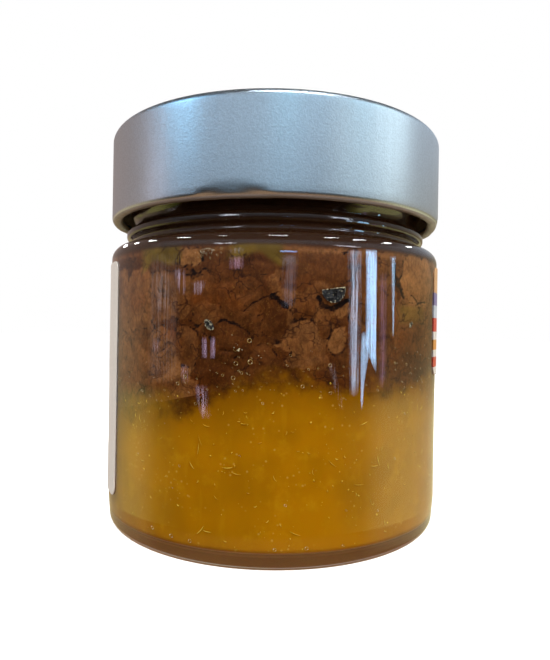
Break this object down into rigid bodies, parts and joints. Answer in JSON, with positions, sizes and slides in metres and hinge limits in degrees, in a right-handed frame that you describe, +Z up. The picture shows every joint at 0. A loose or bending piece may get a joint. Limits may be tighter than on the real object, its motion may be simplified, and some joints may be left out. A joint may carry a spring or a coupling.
{
  "type": "marmalade jar",
  "caption": "Shut round glass preserve jar with a deep satin twist-off metal lid, amber marmalade under a bed of brown fruit pieces, and wrap-round paper labels.",
  "frame": {"origin": "middle of the jar's foot, on the surface it stands on", "axes": "+Z up through the lid, -Y towards the clear window between the labels"},
  "size_m": [0.0712, 0.0702, 0.079],
  "materials": {
    "clear_glass": "clear, smooth, moulded flint glass",
    "lid_lacquer": "satin silver-blue lacquered tinplate",
    "amber_marmalade": "moist, translucent amber jelly with fine fibres",
    "brown_fruit": "stewed brown fruit pieces in dark syrup",
    "white_paper": "uncoated off-white label paper",
    "printed_paper": "label paper printed in plain bands of colour"
  },
  "bodies": {
    "root": {"glass_jar": "clear_glass", "lid": "lid_lacquer", "marmalade": "amber_marmalade", "fruit_pieces": "brown_fruit", "back_label": "white_paper", "front_label": "printed_paper"}
  },
  "joints": []
}
